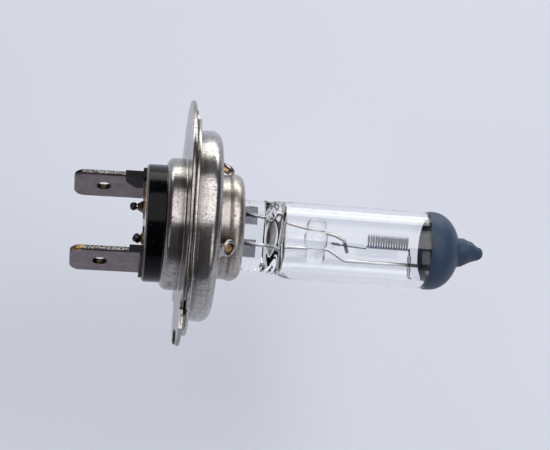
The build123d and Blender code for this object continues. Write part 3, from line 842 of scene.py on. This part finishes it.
def weld_nuggets(material):
    """Lumpy weld metal that fills each tongue's eye."""
    bm = bmesh.new()
    for angle in TONGUE_ANGLES:
        centre, forward, round_x, outward = eye_frame(angle)
        place = centre - outward * 0.12
        dome(bm, place, forward, round_x, outward, NUGGET_RADIUS, NUGGET_HEIGHT, 0.30, angle)
    finish_mesh("weld_nuggets", bm, material, ["sleeve_weld_nuggets"])


def blob(bm, centre, size, lump, seed):
    """A lumpy melted ball with three half-widths."""
    rows = []
    for j in range(1, 24):
        t = pi * j / 24
        row = []
        for a in circle(36):
            ray = Vector((-cos(t), sin(t) * cos(a), sin(t) * sin(a)))
            reach = 1 + lump * noise.noise(ray * 1.7 + Vector((seed, 0, 0)))
            row.append(Vector(centre) + Vector(w * r for w, r in zip(size, ray)) * reach)
        rows.append(row)
    made = skin(bm, rows)
    bm.faces.new(made[0])
    bm.faces.new(reversed(made[-1]))


def lead_beads(material):
    """Balls melted on the two leads' ends."""
    bm = bmesh.new()
    for bead in BEADS:
        blob(bm, *bead)
    finish_mesh("lead_beads", bm, material, ["lead_weld_beads"])


# ---------------------------------------------------------------- burner pieces


def outer_profile(growth=0.0, start=SHOULDER_X):
    """Outside of the tube, its dome and nipple, as (x, radius) points."""
    line = [(start, TUBE_RADIUS + growth), (DOME_X - 8, TUBE_RADIUS + growth)]
    turn = asin(NIPPLE_ROOT / TUBE_RADIUS)
    for i in range(25):
        a = pi / 2 + (turn - pi / 2) * i / 24
        line.append((DOME_X + (DOME_LENGTH + growth) * cos(a), (TUBE_RADIUS + growth) * sin(a)))
    root_x = line[-1][0]
    neck_x = BULB_TIP_X - NIPPLE_END
    for i in range(1, 31):
        t = i / 30
        radius = NIPPLE_ROOT + (NIPPLE_END - NIPPLE_ROOT) * (t ** 0.8)
        line.append((root_x + (neck_x - root_x) * t, radius + growth))
    for i in range(1, 9):
        a = pi / 2 * (1 - i / 8)
        line.append((neck_x + (NIPPLE_END + growth) * cos(a), (NIPPLE_END + growth) * sin(a)))
    return line


def pinch_section(x, count):
    """Cross-section of the quartz at x: a flat bar at the pinch that opens to a circle.

    It is a superellipse, of power 7 at the bar and 2 at the circle, with ragged ends.
    """
    part = max(0.0, min(1.0, (x - PINCH_FRONT_X - 0.05) / (SHOULDER_X - PINCH_FRONT_X - 0.2)))
    open_up = 1 - (1 - part) ** 4.5
    widen = smooth_step(x, PINCH_FRONT_X + 0.2, SHOULDER_X + 1.2)
    half_z = (PINCH_HIGH - PINCH_LOW) / 2
    middle = (PINCH_HIGH + PINCH_LOW) / 2 * (1 - widen)
    thick = PINCH_HALF_THICK + (TUBE_RADIUS - PINCH_HALF_THICK) * open_up
    wide = half_z + (TUBE_RADIUS - half_z) * widen
    power = 2 / (7 + (2 - 7) * open_up)
    ring = []
    for a in circle(count):
        y = abs(cos(a)) ** power * thick * (1 if cos(a) >= 0 else -1)
        z = abs(sin(a)) ** power * wide * (1 if sin(a) >= 0 else -1)
        rough = (1 - widen) * smooth_step(abs(z), 0.72 * wide, 0.95 * wide) * (0.40 if z < 0 else 0.16)
        jag = noise.noise(Vector((x * 3.4, y * 2.4, 3.0 if z < 0 else 9.0)))
        ring.append((x, y * (1 + 0.5 * rough * jag), z + middle + rough * jag))
    return ring


def quartz_envelope(material):
    """The sealed quartz: flat pinch, shoulder, tube, dome and nipple, with its gas space."""
    bm = bmesh.new()
    segments = 160
    corner_x = PINCH_REAR_X + 0.15
    stations = [PINCH_REAR_X, corner_x]
    stations += [corner_x + (PINCH_FRONT_X - corner_x) * i / 60 for i in range(1, 61)]
    stations += [PINCH_FRONT_X + (SHOULDER_X + 1.2 - PINCH_FRONT_X) * i / 28 for i in range(1, 29)]
    rows = [pinch_section(x, segments) for x in stations]
    rows[0] = [(x, y * 0.93, z * 0.97) for x, y, z in rows[0]]
    for x, radius in outer_profile(0.0, SHOULDER_X + 3)[:-1]:
        rows.append([(x, *nipple_shift(x, radius, a)) for a in circle(segments)])
    made = skin(bm, rows)
    bmesh.ops.pointmerge(bm, verts=made[-1], merge_co=(BULB_TIP_X, 0, 0))
    bm.faces.new(made[0])
    outer_faces = len(bm.faces)
    # The gas space: a domed rear end, slightly uneven as pinched glass is, and a round front.
    bore = TUBE_RADIUS - TUBE_WALL
    rear, depth = SHOULDER_X - 1.20, 0.95
    steps = [pi / 2 * i / 20 for i in range(21)]
    hollow = [(rear + depth * (1 - cos(a)), bore * sin(a)) for a in steps]
    front = rounded([hollow[-1], (DOME_X + 2.5, bore), (DOME_X + 2.5, 0)], [3.2], 14)
    hollow += [tuple(p) for p in densified(front, 1.0)][1:]
    turned(bm, hollow, segments)
    bm.faces.index_update()
    for vert in {v for face in bm.faces if face.index >= outer_faces for v in face.verts}:
        if vert.co.x < rear + depth:
            slack = 1 - smooth_step(vert.co.x, rear + 0.6 * depth, rear + depth)
            vert.co.x += 0.24 * slack * noise.noise(Vector((3.0, vert.co.y * 0.35, vert.co.z * 0.35)))
    inner = set(range(outer_faces, len(bm.faces)))
    finish_mesh("quartz_glass", bm, material, ["quartz_envelope"], BURNER, 60, inner)


def nipple_shift(x, radius, angle):
    """Where a point of the nipple goes: swollen on its upper side, dented near its end.

    onset goes from 0 on the dome to 1 on the nipple, and end from 0 to 1 over its last part.
    """
    y, z = radius * cos(angle), radius * sin(angle)
    onset = smooth_step(x, 36.3, 37.3)
    end = smooth_step(x, 38.1, 39.6)
    lump = noise.noise(Vector((x * 0.9, y * 0.8, z * 0.8 + 4.0)))
    scar = noise.noise(Vector((x * 2.3, y * 1.9, z * 1.9 + 8.0)))
    swell = 1 + onset * (1 - end) * 0.12 + onset * 0.10 * lump + end * 0.16 * scar
    underside = smooth_step(-sin(angle + 0.5), 0.35, 0.95)
    dent = 0.15 * smooth_step(x, 37.6, 38.4) * underside * (1 - end * 0.6)
    reach = swell - dent - 0.10 * smooth_step(x, 38.3, 39.3)
    return y * reach, z * reach + 0.16 * onset * (1 - end)


def front_lacquer(material):
    """Dip coating over the dome and nipple, with a soft uneven edge."""
    bm = bmesh.new()
    segments = 160
    outer = [p for p in outer_profile(COATING_THICK) if p[0] > COATING_X]
    inner = [p for p in outer_profile(COATING_GAP) if p[0] > COATING_X]
    edge = [
        (COATING_X, TUBE_RADIUS + COATING_GAP), (COATING_X, TUBE_RADIUS + 0.03),
        (COATING_X + 0.12, TUBE_RADIUS + COATING_THICK),
    ]
    rows = []
    for x, radius in [*reversed(inner[:-1]), *edge, *outer[:-1]]:
        near_edge = max(0.0, 1 - (x - COATING_X) / COATING_EDGE)
        row = []
        for a in circle(segments):
            shift = 0.14 * noise.noise(Vector((cos(a) * 1.6, sin(a) * 1.6, 0.3))) * near_edge
            row.append((x + shift, *nipple_shift(x, radius, a)))
        rows.append(row)
    made = skin(bm, rows)
    bmesh.ops.pointmerge(bm, verts=made[0], merge_co=(BULB_TIP_X + COATING_GAP, 0, 0))
    bmesh.ops.pointmerge(bm, verts=made[-1], merge_co=(BULB_TIP_X + COATING_THICK, 0, 0))
    finish_mesh("front_lacquer", bm, material, ["front_coating"], BURNER, 60)


def lead(name, route, bend, material, node):
    """A round wire in the leads' plane, bent at each corner of its (x, z) route."""
    bm = bmesh.new()
    line = rounded(route, [bend] * (len(route) - 2), 6)
    tube_along(bm, [(x, LEAD_Y, z) for x, z in line], LEAD_WIRE / 2)
    finish_mesh(name, bm, material, [node], BURNER, 60)


def filament(material):
    """Single coil of tungsten wire, a leg at each end, and turns wrapped round the first leg."""
    bm = bmesh.new()
    steps = 28
    start_turn = asin(LEG_Y / COIL_RADIUS)
    left = [(LEG_START, 0.0), (LEG_DROP_END, -LEG_DROP), (COIL_START - 0.35, -0.34)]
    line = [Vector((x, LEG_Y, z)) for x, z in rounded(left, [3.0], 6)]
    total = COIL_TURNS * steps
    for i in range(total + 1):
        a = start_turn - 2 * pi * i / steps
        x = COIL_START + (COIL_END - COIL_START) * i / total
        wander = 0.02 * noise.noise(Vector((i * 0.13, 0.5, 0.0)))
        line.append(Vector((x + wander, COIL_RADIUS * sin(a), COIL_Z - COIL_RADIUS * cos(a))))
    right = [
        (COIL_END, line[-1].z), (COIL_END + 0.12, -1.5),
        (COIL_END + 0.18, -3.95), (COIL_END + 0.6, -4.0),
    ]
    line += [Vector((x, LEG_Y, z)) for x, z in rounded(right, [3.0, 0.15], 5)][1:]
    tube_along(bm, line, COIL_WIRE / 2, 10)
    for start, end, turns in LEG_WRAPS:
        wrap = []
        for i in range(turns * 20 + 1):
            t = i / (turns * 20)
            a = 2 * pi * turns * t
            x = start + (end - start) * t
            z = -LEG_DROP * smooth_step(x, LEG_START, LEG_DROP_END)
            wrap.append(Vector((x, LEG_Y + WRAP_RADIUS * cos(a), z + WRAP_RADIUS * sin(a))))
        tube_along(bm, wrap, WRAP_WIRE, 8)
    finish_mesh("filament_wire", bm, material, ["filament_coil"], BURNER, 60)


def bridge(material):
    """Quartz rod fused round the two leads: pinched in at each lead, with round ends."""
    corners = [
        (BRIDGE_LOW, 0), (BRIDGE_LOW, BRIDGE_RADIUS), (BRIDGE_HIGH, BRIDGE_RADIUS), (BRIDGE_HIGH, 0),
    ]
    profile = densified(rounded(corners, [0.95, 1.05], 12), 0.12)
    bm = bmesh.new()
    rows = []
    for along, reach in profile:
        middle = smooth_step(along, -0.9, -0.2) * (1 - smooth_step(along, 0.9, 1.6))
        reach *= 1 + 0.17 * middle
        for place, depth in BRIDGE_GROOVES:
            share = GROOVE_FALL ** (-(((along - place) / GROOVE_WIDTH) ** 2))
            reach -= depth * share * min(1, reach)
        row = []
        for a in circle(72):
            slump = 1 + 0.05 * noise.noise(Vector((cos(a) * 2, sin(a) * 2, along * 0.9)))
            row.append((BRIDGE_X + reach * slump * cos(a), LEAD_Y + reach * slump * sin(a), along))
        rows.append(row)
    made = skin(bm, rows)
    bmesh.ops.pointmerge(bm, verts=made[0], merge_co=(BRIDGE_X, LEAD_Y, BRIDGE_LOW))
    bmesh.ops.pointmerge(bm, verts=made[-1], merge_co=(BRIDGE_X, LEAD_Y, BRIDGE_HIGH))
    finish_mesh("bridge_glass", bm, material, ["quartz_bridge"], BURNER, 60)


# ---------------------------------------------------------------- build

quartz_clear = quartz("quartz_clear", True)
quartz_worked = quartz("quartz_worked", False)
lead_metal = wire_metal("lead_wire", (0.50, 0.48, 0.48), 0.11)
# A lighter copy of the lead metal, a painted highlight: the lower lead, which shines white in the
# overhead light, and the filament leg's sleeve take it.
painted_highlight_lead = wire_metal("painted_highlight_lead", (0.74, 0.74, 0.77), 0.34)
tungsten = wire_metal("tungsten", (0.22, 0.22, 0.29), 0.10)
foil_metal = wire_metal("foil_metal", (0.33, 0.35, 0.42), 0.22)
weld = burnt_weld()

cad_materials = {
    "pinch_clamp": turned_steel("clip_steel", (0.50, 0.50, 0.51), 0.30),
    "insulator": insulator_plastic(),
    "upper_blade": blade_metal(),
    "upper_outer_lead": lead_metal,
    "lower_outer_lead": lead_metal,
    "upper_foil": foil_metal,
    "lower_foil": foil_metal,
    "filament_leg_sleeve": painted_highlight_lead,
    "flange_weld_spots": turned_steel("spot_steel", (0.30, 0.26, 0.24), 0.35),
}
cad_materials["lower_blade"] = cad_materials["upper_blade"]
# Nodes whose shape is right stay, and get a material and smooth faces.
for node, material in cad_materials.items():
    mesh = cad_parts[node].data
    mesh.materials.clear()
    mesh.materials.append(material)
    mesh.polygons.foreach_set("use_smooth", [True] * len(mesh.polygons))
    mesh.set_sharp_from_angle(angle=radians(30))

add_camera()
add_studio()
base_cup(turned_steel("cup_steel", (0.430, 0.412, 0.415), 0.20, True, CUP_PAINTED_SHADE))
cap_ring(turned_steel("ring_steel", STEEL, 0.20))
burner_sleeve(turned_steel("sleeve_steel", (0.54, 0.510, 0.490), 0.31, False))
weld_nuggets(weld)
lead_beads(dark_bead())
quartz_envelope(quartz_clear)
front_lacquer(lacquer())
bridge(quartz_worked)
lead("upper_lead_wire", UPPER_ROUTE, 0.5, lead_metal, "upper_inner_lead")
lead("lower_lead_wire", LOWER_ROUTE, 0.9, painted_highlight_lead, "lower_inner_lead")
filament(tungsten)
